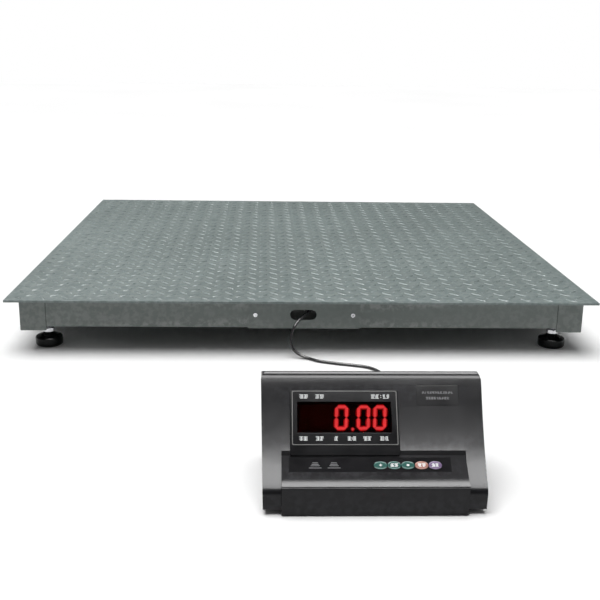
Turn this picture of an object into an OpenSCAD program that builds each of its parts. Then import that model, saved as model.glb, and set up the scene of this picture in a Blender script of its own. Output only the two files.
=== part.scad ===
// Floor (pallet) scale: a low steel platform on four shear-beam load cells and
// levelling feet, a junction box behind an access cover, and a desk-top indicator
// on a signal cable. Millimetres. X is to the right, Y towards the back, Z up.
// Origin: on the floor, under the centre of the platform.

/* [Platform] */
// Side of the square tread-plate deck
deck_side = 1000; // [900:50:1200]
// Height of the deck above the floor
deck_top = 95; // [95:1:98]
// Thickness of the deck plate
deck_t = 4; // [3:0.5:5]
// How far the deck overhangs the frame on every side
overhang = 20; // [15:1:25]
// Height of the edge channels
channel_h = 47; // [44:1:47]
// Wall thickness of the edge channels and corner guards
channel_t = 4; // [3:0.5:4]
// Width of the channel flanges
flange_w = 20; // [16:1:20]
// Width of the folded guard at each corner
guard_w = 44; // [40:1:46]
// Height of the corner guards
guard_h = 54.7; // [50:0.1:56]
// Number of beams that stiffen the deck
beam_count = 3; // [2:1:4]

/* [Load cells] */
// Side of the square load-cell bar
cell_side = 32; // [30:1:32]
// Distance from a foot's axis to the nearest platform edges
foot_inset = 59; // [58:1:61]
// Radius of the levelling stud
stud_r = 6; // [5:0.5:6]
// Radial clearance of every turning or sliding round fit
running_gap = 0.05; // [0.02:0.01:0.1]

/* [Feet] */
// Largest radius of a foot cup
cup_r = 23.25; // [20:0.25:24]
// Height of a foot cup
cup_h = 24; // [24:0.5:28]

/* [Cable exit] */
// Width of the access cover
cover_w = 191; // [180:1:200]
// Length of the obround cable slot
slot_w = 45; // [40:1:50]
// Height of the obround cable slot
slot_h = 17.5; // [16:0.5:19]
// Diameter of the signal cable
cable_d = 5; // [4:0.5:5]

/* [Indicator] */
// Centre of the indicator across the platform
ind_x = 58.5; // [40:0.5:80]
// Place of the indicator's front face
ind_y = -1056.5; // [-1120:0.5:-1056]
// Half width of the housing at the bottom
case_half_bottom = 127.5; // [126:0.5:129]
// Half width of the housing at the top
case_half_top = 130.5; // [129:0.5:132]
// Half width of the lower case and the keypad recess
base_half = 106.5; // [105:0.5:108]
// Depth of the housing
case_depth = 155; // [150:1:160]
// Wall thickness of both plastic cases
wall = 2.5; // [2:0.25:3]
// Thickness of the rubber feet
pad_t = 1.5; // [1:0.5:2]
// Spacing of the five keys
key_pitch = 15.75; // [15.75:0.25:16.5]
// Length of one key
key_w = 15; // [14:0.25:15]
// Width of one key
key_h = 10.6; // [9:0.2:11]

/* [Hidden] */
$fn = 48;
slack = 0.3;

// platform levels and places, from the floor up
plate_z = deck_top - deck_t;
channel_z = plate_z - channel_h;
frame_half = deck_side / 2 - overhang;
web_in = frame_half - channel_t;
channel_half = frame_half - guard_w - 0.5;
foot_at = deck_side / 2 - foot_inset;
corners = [[-1, -1], [1, -1], [-1, 1], [1, 1]];
beam_span = 240;
beam_w = 40;
beam_h = 40;
beam_t = 3;

// finishes
deck_tint = [0.51, 0.55, 0.54];
frame_tint = [0.40, 0.44, 0.43];
steel_tint = [0.78, 0.78, 0.78];
alloy_tint = [0.72, 0.74, 0.76];
dark_tint = [0.05, 0.05, 0.05];
case_tint = [0.13, 0.13, 0.14];
board_tint = [0.10, 0.36, 0.22];
grey_tint = [0.64, 0.65, 0.64];
jacket_tint = [0.09, 0.09, 0.09];

// load cell: bar from the fixed end to just past the foot
cell_z = 48;
cell_top = cell_z + cell_side;
cell_long = 132;
cell_end = foot_at + 16;
cell_start = cell_end - cell_long;
bolt_r = 6;
bolt_at = [foot_at - 101.6, foot_at - 76.2];
block_w = 57;

// feet
socket_z = 8;
collar_r = 8;
collar_t = 3;
hex_z = cup_h + 0.2;
nut_z = cell_z - 9.6;
nut_t = 9.5;
stud_top = 85;

// junction box behind the access cover
cover_h = 48.4;
cover_t = 1.5;
slot_x = -1.5;
slot_z = 66.75;
screw_x = 83;
screw_z = deck_top - 28.4;
window_w = 144;
window_z = [50, 86];
box = [124, 58, 33];
box_y = -450;
box_z = channel_z + 3;
lid_t = 5;
tray_half = 50;
gland_z = 70;
signal_gland_x = 8;
cell_gland_x = [-42, 42, -14, 14];
cell_gland_z = 64;
gland_long = 12;
cable_r = cable_d / 2;
lead_r = 2.5;
gland_back = box_y + box.y + gland_long;
board_z = box_z + 8;

// signal cable: route from the junction box's gland to the coil, and from the coil to the plug
cable_run = [
    [8, -462, 70], [8, -470, 71], [7, -478, 71.5], [2, -486, 69], [-5, -493, 65],
    [-12, -499, 59.5], [-18, -504, 51], [-22, -507, 40], [-23, -510, 27], [-20, -512, 17],
    [-13, -514, 10], [-4, -516, 5], [8, -522, 2.5], [24, -535, 2.5], [54, -547, 2.5],
    [82, -556, 2.5], [101, -564, 2.5], [115, -580, 2.5], [123, -604, 2.5], [127, -636, 2.5],
    [128, -680, 2.5], [128, -720, 2.5], [128, -752, 2.5]
];
cable_tail = [
    [118, -762, 17.5], [118, -770, 20.5], [118, -779, 22.8], [118, -790, 23.8],
    [117, -802, 25], [115, -816, 28], [112, -830, 34], [110, -842, 39.5], [110, -850, 41.5],
    [110, -859.5, 41.5]
];
coil_at = [93, -760];
coil_inner = 22.5;
coil_outer = 37.5;
coil_h = 20;

// indicator, in its own frame: x from its middle, y from its front, z from its underside
case_top = 138.2;
seam_z = 34.2;
cheek_y = 4;
key_slope = 35;
key_base = [12, 40.2];
key_reach = 29.4;
panel_slope = 55;
panel_base = [36, 60.8];
cheek_profile = [
    [cheek_y, 5.2], [cheek_y, 21.4], [4.4, 24.4], [5.6, 27.2], [8, 30.2], [13, 35.5], [20, 42.7],
    [27, 50.1], [34, 58.2], [42, 68.2], [52, 81.5], [62, 95.6], [72, 110.4], [82, 126],
    [86.5, 132.7], [88.6, 135.2], [91, 137.2], [94, case_top], [98, 137.3], [150, 115],
    [153.6, 112.2], [case_depth, 108.5], [case_depth, 5.2]
];
lip_profile = [[0.5, seam_z], [0.5, 34.9], [4, 36.0], [8, 37.8], key_base];
key_top = key_base + key_reach * [cos(key_slope), sin(key_slope)];
panel_points = [for (p = cheek_profile) if (p.x > key_top.x + 2 && p.y > 60) p];
panel_foot = [37.2, 62.4];
middle_profile = concat(lip_profile, [key_top, panel_foot], panel_points,
    [[case_depth, seam_z]]);
// the same outline without its thin lip, run on downwards, from which the hollow is worked out
core_profile = concat([[6, seam_z - 8], [6, 36.6], key_base, key_top, panel_foot],
    panel_points, [[case_depth, seam_z - 8]]);
front_outline = [
    [-case_half_bottom, 5.2], [case_half_bottom, 5.2], [case_half_top, 131.4],
    [case_half_top - 1.6, 135.8], [case_half_top - 5, case_top], [5 - case_half_top, case_top],
    [1.6 - case_half_top, 135.8], [-case_half_top, 131.4]
];

// display block on the sloping panel: x range, and range up the slope
block_x = [-96.5, 30.5];
block_s = [-3.6, 73];
bezel_t = 4;
view_x = [-88, 22];
view_s = [22.6, 59.2];
plate_x = [52.4, 102.5];
plate_s = [55, 79.6];

// keypad strip
strip_x = [-97.7, 88];
strip_s = [7.6, 26.5];
strip_t = 1.2;
key_s = 16.2;
key_proud = 0.5;
key_first = 6.8;
key_travel = 0.8;
key_under = 5;
green_tint = [0.05, 0.33, 0.29];
salmon_tint = [0.80, 0.45, 0.38];
lilac_tint = [0.50, 0.40, 0.58];

// rear panel
rear_half = 99.7;
rear_top = 74.7;
rear_z = 40;
switch_x = -80;
inlet_x = -45;
fuse_x = -14;
serial_x = 14;
signal_x = 51.5;
rocker_tilt = 9;
foot_marks = [[-80, 16], [80, 16], [-80, 140], [80, 140]];
boss_marks = [[-98, 22], [98, 22], [-96, 141], [96, 141]];
post_z = 12;
head_z = 5;
door = [96, 62, 2.2];
door_at = [15, 97];
door_screw = door.x / 2 - 2;
rocker_pivot = -2;
plug_long = 42;

// ---- helpers ----

function unit(v) = v / norm(v);
function tangent(p, i) =
    i == 0 ? unit(p[1] - p[0])
    : i == len(p) - 1 ? unit(p[i] - p[i - 1])
    : unit(unit(p[i + 1] - p[i]) + unit(p[i] - p[i - 1]));
function frames(p, n = [0.02, 0.03, 1], i = 0) =
    i == len(p) ? []
    : let (t = tangent(p, i), m = unit(n - (n * t) * t))
      concat([[m, cross(t, m)]], frames(p, m, i + 1));
// one pass of corner cutting, which rounds a hand-laid route
function rounded(p) = concat([p[0]],
    [for (i = [0:len(p) - 2]) each [0.75 * p[i] + 0.25 * p[i + 1], 0.25 * p[i] + 0.75 * p[i + 1]]],
    [p[len(p) - 1]]);
// a closed outline moved inwards by d, for an outline that runs clockwise
function inset(p, d) =
    let (n = len(p))
    [for (i = [0:n - 1])
        let (e = unit(p[i] - p[(i + n - 1) % n]), g = unit(p[(i + 1) % n] - p[i]),
             a = [e.y, -e.x], b = [g.y, -g.x])
        p[i] + d * (a + b) / (1 + a * b)];

// round tube swept along a list of points
module tube(p, r, sides = 8) {
    f = frames(p);
    rings = len(p);
    polyhedron(
        points = [for (i = [0:rings - 1]) for (k = [0:sides - 1])
            p[i] + r * (cos(360 * k / sides) * f[i][0] + sin(360 * k / sides) * f[i][1])],
        faces = concat(
            [[for (k = [0:sides - 1]) k]],
            [[for (k = [sides - 1:-1:0]) (rings - 1) * sides + k]],
            [for (i = [0:rings - 2]) for (k = [0:sides - 1])
                [i * sides + k, (i + 1) * sides + k,
                 (i + 1) * sides + (k + 1) % sides, i * sides + (k + 1) % sides]]));
}

// box from its two corners
module slab(a, b) {
    translate(a) cube(b - a);
}

// places a child in all four corners of the platform, turned outwards
module at_corners() {
    for (c = corners) mirror([c.x < 0 ? 1 : 0, 0, 0]) mirror([0, c.y < 0 ? 1 : 0, 0]) children();
}

// places a child on one foot's axis
module at_foot(c) {
    translate([c.x * foot_at, c.y * foot_at, 0]) children();
}

// indicator frame
module indicator() {
    translate([ind_x, ind_y, pad_t]) children();
}

// frame on the keypad slope: x across, s up the slope, z out of the surface
module on_keypad(x = 0, s = 0) {
    indicator() translate([x, key_base.x, key_base.y]) rotate([key_slope, 0, 0])
        translate([0, s, 0]) children();
}

// frame on the display slope
module on_panel(x = 0, s = 0) {
    indicator() translate([x, panel_base.x, panel_base.y]) rotate([panel_slope, 0, 0])
        translate([0, s, 0]) children();
}

// side profile swept across the indicator between two x places
module across(profile, x0, x1) {
    translate([x0, 0, 0]) rotate([90, 0, 90]) linear_extrude(x1 - x0) polygon(profile);
}

// flat slab on a slope, from x and s ranges and a z range
module patch(x, s, z) {
    translate([x[0], s[0], z[0]]) cube([x[1] - x[0], s[1] - s[0], z[1] - z[0]]);
}

// bar with round ends, centred, standing on z = 0
module obround(w, h, t) {
    translate([-(w - h) / 2, -h / 2, 0]) cube([w - h, h, t]);
    for (side = [-1, 1]) translate([side * (w - h) / 2, 0, 0]) cylinder(h = t, r = h / 2);
}

// hexagonal prism with the given size across its flats
module hexagon(flats, t) {
    cylinder(h = t, r = flats / sqrt(3), $fn = 6);
}

// ---- platform ----

module deck_plate() {
    color(deck_tint)
        slab([-deck_side / 2, -deck_side / 2, plate_z], [deck_side / 2, deck_side / 2, deck_top]);
}

// open channel along the front edge, turned into place for the other sides
module edge_channel() {
    slab([-channel_half, -frame_half, channel_z], [channel_half, -web_in, plate_z]);
    for (z = [channel_z, plate_z - channel_t])
        slab([-channel_half, -frame_half, z], [channel_half, flange_w - frame_half, z + channel_t]);
}

module front_channel() {
    color(frame_tint) {
        difference() {
            edge_channel();
            slab([-window_w / 2, -frame_half - 1, window_z[0]],
                [window_w / 2, 1 - web_in, window_z[1]]);
            for (side = [-1, 1]) translate([side * screw_x, -frame_half - 1, screw_z])
                rotate([-90, 0, 0]) cylinder(h = channel_t + 2, r = 2);
        }
        slab([-tray_half, -web_in, channel_z], [tray_half, box_y + box.y, box_z]);
    }
}

module rear_channel() {
    color(frame_tint) rotate(180) edge_channel();
}

module side_channels() {
    color(frame_tint) for (turn = [-90, 90]) rotate(turn) edge_channel();
}

module cross_beams() {
    reach = frame_half - flange_w - 0.5;
    step = 2 * beam_span / (beam_count - 1);
    half = beam_w / 2;
    hollow = half - beam_t;
    color(frame_tint) for (i = [0:beam_count - 1]) translate([0, i * step - beam_span, 0])
        difference() {
            slab([-reach, -half, plate_z - beam_h], [reach, half, plate_z]);
            slab([-reach - 1, -hollow, plate_z - beam_h - 1],
                [reach + 1, hollow, plate_z - beam_t]);
        }
}

module corner_guards() {
    color(frame_tint) at_corners() translate([0, 0, plate_z - guard_h]) {
        slab([frame_half - guard_w, web_in, 0], [frame_half, frame_half, guard_h]);
        slab([web_in, frame_half - guard_w, 0], [frame_half, frame_half, guard_h]);
    }
}

module cell_mounting_blocks() {
    color(frame_tint) at_corners() difference() {
        slab([cell_start, foot_at - 18, cell_top], [cell_start + block_w, foot_at + 18, plate_z]);
        for (x = bolt_at) translate([x, foot_at, cell_top - 1])
            cylinder(h = 10, r = bolt_r + running_gap);
    }
}

module load_cells() {
    pocket_x = foot_at - 38;
    color(alloy_tint) at_corners() difference() {
        slab([cell_start, foot_at - cell_side / 2, cell_z],
            [cell_end, foot_at + cell_side / 2, cell_top]);
        for (x = bolt_at) translate([x, foot_at, cell_z - 1])
            cylinder(h = cell_side + 2, r = bolt_r + 0.5);
        translate([foot_at, foot_at, cell_z - 1])
            cylinder(h = cell_side + 2, r = stud_r + running_gap);
        for (side = [-1, 1]) translate([pocket_x, foot_at + side * (cell_side / 2 + 1), cell_z + 16])
            rotate([side * 90, 0, 0]) cylinder(h = 9, r = 10);
    }
}

module load_cell_bolts() {
    color([0.25, 0.25, 0.26]) at_corners() for (x = bolt_at) translate([x, foot_at, 0])
        difference() {
            union() {
                translate([0, 0, cell_z - 8]) cylinder(h = 8, r = 9);
                translate([0, 0, cell_z]) cylinder(h = cell_side + 8, r = bolt_r);
            }
            translate([0, 0, cell_z - 9]) hexagon(10, 5);
        }
}

module access_cover() {
    color(frame_tint) difference() {
        slab([-cover_w / 2, -frame_half - cover_t, deck_top - 4 - cover_h],
            [cover_w / 2, -frame_half, plate_z - slack]);
        translate([slot_x, -frame_half + 1, slot_z]) rotate([90, 0, 0])
            obround(slot_w, slot_h, cover_t + 2);
        for (side = [-1, 1]) translate([side * screw_x, -frame_half + 1, screw_z])
            rotate([90, 0, 0]) cylinder(h = cover_t + 2, r = 2.2);
    }
}

module cover_screws() {
    color(steel_tint) for (side = [-1, 1])
        translate([side * screw_x, -frame_half - cover_t, screw_z]) rotate([90, 0, 0])
            difference() {
                union() {
                    cylinder(h = 1.8, r = 3.6);
                    translate([0, 0, -cover_t - 8]) cylinder(h = cover_t + 8, r = 1.95);
                }
                translate([0, 0, 0.8]) cube([4.4, 0.8, 3], center = true);
                translate([0, 0, 0.8]) cube([0.8, 4.4, 3], center = true);
            }
}

module junction_box() {
    color(grey_tint) translate([-box.x / 2, box_y, box_z]) difference() {
        cube([box.x, box.y, box.z - lid_t]);
        translate([2.5, 2.5, 2.5]) cube([box.x - 5, box.y - 5, box.z]);
        translate([box.x / 2 + signal_gland_x, 3.5, gland_z - box_z]) rotate([90, 0, 0])
            cylinder(h = 5, r = 4 + running_gap);
        for (x = cell_gland_x)
            translate([box.x / 2 + x, box.y - 3.5, cell_gland_z - box_z]) rotate([-90, 0, 0])
                cylinder(h = 5, r = 4 + running_gap);
    }
}

module junction_box_lid() {
    color(grey_tint) translate([-box.x / 2, box_y, box_z + box.z - lid_t]) difference() {
        cube([box.x, box.y, lid_t]);
        translate([3, 3, -1]) cube([box.x - 6, box.y - 6, lid_t - 1.5]);
        for (x = [6, box.x - 6], y = [6, box.y - 6]) translate([x, y, -1])
            cylinder(h = lid_t + 2, r = 2);
    }
}

module junction_box_screws() {
    color(steel_tint) for (x = [6, box.x - 6], y = [6, box.y - 6])
        translate([x - box.x / 2, box_y + y, box_z + box.z]) {
            cylinder(h = 1.6, r = 3.4);
            translate([0, 0, -lid_t - 6]) cylinder(h = lid_t + 6, r = 1.9);
        }
}

module junction_board() {
    color(board_tint) {
        slab([-50, box_y + 5, board_z], [50, box_y + box.y - 5, board_z + 1.6]);
        for (x = [-44, 44], y = [box_y + 9, box_y + box.y - 9]) translate([x, y, box_z + 2.5])
            cylinder(h = board_z - box_z - 2.5, r = 2.5);
    }
}

module trim_potentiometers() {
    color([0.15, 0.3, 0.7]) for (i = [-1.5:1:1.5]) translate([i * 22, box_y + 27, board_z + 1.6])
        union() {
            translate([-4.8, -2.4, 0]) cube([9.6, 4.8, 9]);
            translate([3.2, 0, 9]) cylinder(h = 0.8, r = 1.2);
        }
}

module terminal_blocks() {
    color([0.1, 0.5, 0.2]) {
        for (i = [-1.5:1:1.5])
            slab([i * 22 - 9, box_y + 36, board_z + 1.6], [i * 22 + 9, box_y + 44, board_z + 10]);
        slab([-24, box_y + 9, board_z + 1.6], [-4, box_y + 17, board_z + 10]);
    }
}

// hexagonal gland body with a domed nut; the cable leaves along +Z
module gland() {
    difference() {
        union() {
            translate([0, 0, -3.4]) cylinder(h = 3.4, r = 4);
            hexagon(13, 4.5);
            translate([0, 0, 4.5]) cylinder(h = 4.5, r = 6.2);
            translate([0, 0, 9]) cylinder(h = gland_long - 9, r1 = 6.2, r2 = 4.6);
        }
        translate([0, 0, -4]) cylinder(h = gland_long + 5, r = 2.6);
    }
}

module cable_glands() {
    color(jacket_tint) {
        translate([signal_gland_x, box_y, gland_z]) rotate([90, 0, 0]) gland();
        for (x = cell_gland_x) translate([x, box_y + box.y, cell_gland_z]) rotate([-90, 0, 0])
            gland();
    }
}

// lead from each load cell's fixed end to its gland, the rear pair clipped under the beams
module load_cell_leads() {
    front = [
        [-cell_start, -foot_at, 62], [-300, -440, 62], [-200, -440, 60], [-110, -436, 58],
        [-84, -400, 56], [-76, -360, 56], [-50, -340, 58], [-42, -352, cell_gland_z],
        [-42, gland_back, cell_gland_z]
    ];
    rear = [
        [-cell_start, foot_at, 62], [-298, 440, 60], [-272, 420, 52], [-268, 380, 47],
        [-268, 0, 47], [-268, -280, 47], [-256, -322, 50], [-200, -332, 52], [-60, -330, 54],
        [-16, -334, 58], [-14, -350, cell_gland_z], [-14, gland_back, cell_gland_z]
    ];
    color(jacket_tint) for (side = [0, 1]) mirror([side, 0, 0]) {
        tube(rounded(front), lead_r);
        tube(rounded(rear), lead_r);
    }
}

// ---- levelling feet ----

module foot_cup(c) {
    color(dark_tint) at_foot(c) difference() {
        rotate_extrude($fn = 72) polygon([
            [0, 0], [19.5, 0], [22, 1.4], [23, 3.4], [cup_r, 5.6], [cup_r, 13.8], [22.6, 15.8],
            [20.9, 17.3], [16.4, 19.4], [12, 21], [9.9, 22], [9, cup_h], [0, cup_h]
        ]);
        translate([0, 0, socket_z]) cylinder(h = cup_h, r = stud_r + running_gap);
        translate([0, 0, socket_z]) cylinder(h = collar_t + slack, r = collar_r + running_gap);
    }
}

module foot_stud(c) {
    color(steel_tint) at_foot(c) {
        translate([0, 0, socket_z]) cylinder(h = stud_top - socket_z, r = stud_r);
        translate([0, 0, socket_z]) cylinder(h = collar_t, r = collar_r);
        translate([0, 0, hex_z]) hexagon(17, 6.8);
    }
}

module lock_nut(c) {
    color(steel_tint) at_foot(c) translate([0, 0, nut_z]) difference() {
        hexagon(19, nut_t);
        translate([0, 0, -1]) cylinder(h = nut_t + 2, r = stud_r);
    }
}

// ---- signal cable ----

module signal_cable_run() {
    color(jacket_tint) tube(cable_run, cable_r);
}

module signal_cable_coil() {
    color(jacket_tint) translate([coil_at.x, coil_at.y, 0]) rotate_extrude()
        polygon([
            [coil_inner, 2], [coil_inner + 2, 0], [coil_outer - 2, 0], [coil_outer, 2],
            [coil_outer, coil_h - 2], [coil_outer - 2, coil_h], [coil_inner + 2, coil_h],
            [coil_inner, coil_h - 2]
        ]);
}

module signal_cable_tail() {
    color(jacket_tint) tube(cable_tail, cable_r);
}

// ---- indicator ----

// outer form of the housing, without its recess
module case_outline() {
    rotate([90, 0, 0]) translate([0, 0, -case_depth - 1]) linear_extrude(case_depth + 2)
        polygon(front_outline);
}

module upper_case() {
    cheek_hollow = inset(cheek_profile, wall);
    hollow = inset(core_profile, wall);
    color(case_tint) difference() {
        indicator() intersection() {
            case_outline();
            union() {
                difference() {
                    union() {
                        across(middle_profile, -base_half, base_half);
                        for (side = [0, 1]) mirror([side, 0, 0])
                            across(cheek_profile, base_half, case_half_top + 1);
                    }
                    across(hollow, -base_half, base_half);
                    for (side = [0, 1]) mirror([side, 0, 0]) {
                        across(cheek_hollow, base_half + wall, case_half_bottom - wall);
                        slab([base_half + wall, cheek_y + wall, 0],
                            [case_half_bottom - wall, case_depth - wall, 10]);
                    }
                    slab([-rear_half - slack, case_depth - 5, 0],
                        [rear_half + slack, case_depth + 1, rear_top + slack]);
                    slab([-base_half - 0.2, -1, 0], [base_half + 0.2, case_depth + 1, seam_z]);
                }
                intersection() {
                    across(middle_profile, -base_half, base_half);
                    for (m = boss_marks) translate([m.x, m.y, seam_z])
                        cylinder(h = case_top, r = 4);
                }
                for (m = boss_marks) translate([m.x, m.y, post_z])
                    cylinder(h = seam_z + 1 - post_z, r = 4);
            }
        }
        on_panel() patch(block_x + [-0.15, 0.15], block_s + [-0.15, 0.15], [-8, 6]);
        on_panel() patch(plate_x + [-0.1, 0.1], plate_s + [-0.1, 0.1], [-1.9, 6]);
        on_keypad() patch(strip_x + [-0.1, 0.1], strip_s + [-0.1, 0.1], [-strip_t, 4]);
        for (i = [0:4]) on_keypad(key_first + i * key_pitch, key_s) translate([0, 0, -5])
            obround(key_w - 0.6, key_h - 0.6, 8);
        indicator() for (m = boss_marks) translate([m.x, m.y, post_z - 1])
            cylinder(h = 14, r = 1.5);
    }
}

// frame on the rear wall: x across, y down, z out of the wall
module on_rear(x) {
    indicator() translate([x, case_depth, rear_z]) rotate([-90, 0, 0]) children();
}

// centred plate on a frame, from its size and its z range
module plate(size, z) {
    translate([-size.x / 2, -size.y / 2, z[0]]) cube([size.x, size.y, z[1] - z[0]]);
}

module lower_case() {
    ledge = [door.x + 6, door.y + 6];
    color(case_tint) difference() {
        indicator() union() {
            difference() {
                slab([-base_half, 0, 0], [base_half, case_depth, seam_z - slack]);
                slab([-base_half + wall, wall, wall],
                    [base_half - wall, case_depth - wall, seam_z]);
            }
            slab([-rear_half, case_depth - wall, seam_z - 1], [rear_half, case_depth, rear_top]);
            translate([door_at.x, door_at.y, 0]) plate(ledge, [0, 4.5]);
            for (m = boss_marks) translate([m.x, m.y, 1]) cylinder(h = post_z - 1, r = 5);
        }
        indicator() {
            translate([door_at.x, door_at.y, 0]) {
                plate([door.x + slack, door.y + slack], [-1, door.z + 0.1]);
                plate([door.x - 8, door.y - 8], [-1, 6]);
                for (side = [-1, 1]) translate([side * door_screw, 0, -1])
                    cylinder(h = 7, r = 1.15);
            }
            for (m = boss_marks) translate([m.x, m.y, -1]) {
                cylinder(h = post_z + 2, r = 1.7);
                cylinder(h = head_z + 1, r = 3.5);
            }
        }
        on_rear(switch_x) plate([13, 19.4], [-5, 1]);
        on_rear(inlet_x) plate([27.2, 20], [-5, 1]);
        on_rear(fuse_x) translate([0, 0, -5]) cylinder(h = 6, r = 6.2);
        for (x = [serial_x, signal_x]) on_rear(x) plate([19.4, 10.6], [-5, 1]);
    }
}

module display_bezel() {
    color(dark_tint) on_panel() difference() {
        patch(block_x, block_s, [-bezel_t, 0]);
        patch(view_x, view_s, [-bezel_t - 1, 1]);
    }
}

module display_window() {
    color([0.25, 0.02, 0.03, 0.6]) on_panel() patch(view_x, view_s, [-1.8, -0.5]);
}

module led_display() {
    color([0.8, 0.1, 0.1]) on_panel()
        patch(view_x + [1, -1], view_s + [1.3, -1.3], [-14.4, -3]);
}

module main_board() {
    color(board_tint) on_panel() difference() {
        patch([-86, 22], [8, 74], [-16, -14.4]);
        for (x = [-80, 16], s = [13, 69]) translate([x, s, -17]) cylinder(h = 4, r = 1.6);
    }
}

module keypad_panel() {
    color(dark_tint) difference() {
        on_keypad() patch(strip_x, strip_s, [-strip_t, 0]);
        for (i = [0:4]) on_keypad(key_first + i * key_pitch, key_s) translate([0, 0, -2])
            obround(key_w + 0.2, key_h + 0.2, 4);
    }
}

// one key: a cap in the strip, a stem through the case wall and a flange behind it
module key(i, tint) {
    color(tint) on_keypad(key_first + i * key_pitch, key_s) union() {
        translate([0, 0, -slack]) obround(key_w - 0.2, key_h - 0.2, key_proud + slack);
        translate([0, 0, -key_under]) obround(key_w - 1.2, key_h - 1.2, key_under);
        translate([0, 0, -key_under]) obround(key_w + 0.3, key_h + 1, 1.4);
    }
}

module key_board() {
    color(board_tint) on_keypad() {
        patch([-4, 82], [4, 28], [-12, -10.4]);
        for (i = [0:4]) translate([key_first + i * key_pitch, key_s, -10.4]) {
            plate([6, 6], [0, 3.4]);
            cylinder(h = 10.4 - key_under - key_travel - 0.1, r = 1.7);
        }
    }
}

module transformer() {
    color([0.35, 0.35, 0.38]) indicator() union() {
        slab([-101, 84, 3], [-56, 132, 40]);
        slab([-103.5, 92, 3], [-50, 124, 6]);
    }
}

module battery() {
    color([0.2, 0.2, 0.24]) indicator() {
        slab([-35, 62, 5], [66, 131, 53]);
        for (x = [46, 58]) slab([x - 3, 100, 53], [x + 3, 100.8, 59]);
    }
}

module battery_cover() {
    color(case_tint) indicator() translate([door_at.x, door_at.y, 0]) difference() {
        plate([door.x, door.y], [0, door.z]);
        for (side = [-1, 1]) translate([side * door_screw, 0, -1])
            cylinder(h = 5, r = 1.15);
    }
}

module switch_housing() {
    color(dark_tint) on_rear(switch_x) difference() {
        union() {
            plate([15, 21], [0, 1.6]);
            plate([12.8, 19.2], [-14, 0]);
        }
        plate([9.8, 16.8], [-9, 2]);
        translate([-5.8, 0, rocker_pivot]) rotate([0, 90, 0])
            cylinder(h = 11.6, r = 1.5 + running_gap);
    }
}

module power_rocker() {
    color([0.7, 0.05, 0.05]) on_rear(switch_x) translate([0, 0, rocker_pivot])
        rotate([rocker_tilt, 0, 0]) {
            translate([-4.7, 0, 0]) rotate([90, 0, 90]) linear_extrude(9.4)
                polygon([
                    [-7.5, 4.2], [0, 3], [7.5, 4.2], [7.2, -1], [2.5, -4.5], [-2.5, -4.5],
                    [-7.2, -1]
                ]);
            translate([-5.6, 0, 0]) rotate([0, 90, 0]) cylinder(h = 11.2, r = 1.5);
        }
}

module mains_inlet() {
    color(dark_tint) on_rear(inlet_x) {
        difference() {
            union() {
                plate([30, 23], [0, 2]);
                plate([27, 19.8], [-18, 0]);
            }
            plate([24.6, 17], [-14, 3]);
        }
        for (p = [[-7, 2], [0, -2], [7, 2]]) translate(p) plate([2, 4], [-15, -4.2]);
    }
}

module fuse_holder() {
    color(dark_tint) on_rear(fuse_x) difference() {
        union() {
            translate([0, 0, -20]) cylinder(h = 20, r = 6);
            cylinder(h = 2, r = 8);
            translate([0, 0, 2]) cylinder(h = 7, r = 6.2);
        }
        plate([9, 1.4], [8, 10]);
    }
}

// nine-way connector for the rear wall: flange, shell and the block behind
module rear_connector() {
    plate([31, 12.6], [0, 1.2]);
    plate([19, 10.2], [-8, 0]);
    plate([17.4, 8.8], [1.2, 6.8]);
    for (side = [-1, 1]) translate([side * 12.5, 0, 1.2]) hexagon(5, 4);
}

module serial_port() {
    color(alloy_tint) on_rear(serial_x) rear_connector();
}

module signal_socket() {
    color(alloy_tint) on_rear(signal_x) rear_connector();
}

module signal_plug() {
    hood_end = plug_long - 8;
    color(jacket_tint) on_rear(signal_x) difference() {
        union() {
            plate([19.6, 11.4], [1.3, 8]);
            plate([33, 15.5], [5.4, hood_end - 6]);
            plate([22, 14], [hood_end - 6, hood_end]);
            translate([0, 0, hood_end]) cylinder(h = plug_long - hood_end, r1 = 5, r2 = 3.6);
        }
        plate([17.8, 9.2], [1, 7]);
    }
}

module nameplate() {
    color(dark_tint) on_panel() patch(plate_x, plate_s, [-1.9, -1.4]);
}

module rubber_feet() {
    color(dark_tint) indicator() for (m = foot_marks) translate([m.x, m.y, -pad_t])
        cylinder(h = pad_t, r = 7);
}

module case_screws() {
    color(steel_tint) indicator() {
        for (m = boss_marks) translate([m.x, m.y, 0]) {
            translate([0, 0, head_z - 2.2]) cylinder(h = 2.2, r = 3.2);
            translate([0, 0, head_z]) cylinder(h = 19, r = 1.5);
        }
        for (side = [-1, 1])
            translate([door_at.x + side * door_screw, door_at.y, -0.8]) {
                cylinder(h = 0.8, r = 1.9);
                cylinder(h = 4.8, r = 1.1);
            }
    }
}

deck_plate();
front_channel();
rear_channel();
side_channels();
cross_beams();
corner_guards();
cell_mounting_blocks();
load_cells();
load_cell_bolts();
access_cover();
cover_screws();
junction_box();
junction_box_lid();
junction_box_screws();
junction_board();
trim_potentiometers();
terminal_blocks();
cable_glands();
load_cell_leads();
foot_cup(corners[0]);  // foot_cup_fl
foot_cup(corners[1]);  // foot_cup_fr
foot_cup(corners[2]);  // foot_cup_bl
foot_cup(corners[3]);  // foot_cup_br
foot_stud(corners[0]);  // foot_stud_fl
foot_stud(corners[1]);  // foot_stud_fr
foot_stud(corners[2]);  // foot_stud_bl
foot_stud(corners[3]);  // foot_stud_br
lock_nut(corners[0]);  // lock_nut_fl
lock_nut(corners[1]);  // lock_nut_fr
lock_nut(corners[2]);  // lock_nut_bl
lock_nut(corners[3]);  // lock_nut_br
signal_cable_run();
signal_cable_coil();
signal_cable_tail();
upper_case();
lower_case();
display_bezel();
display_window();
led_display();
main_board();
keypad_panel();
key(0, green_tint);  // key_1
key(1, green_tint);  // key_2
key(2, green_tint);  // key_3
key(3, salmon_tint);  // key_4
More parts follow.
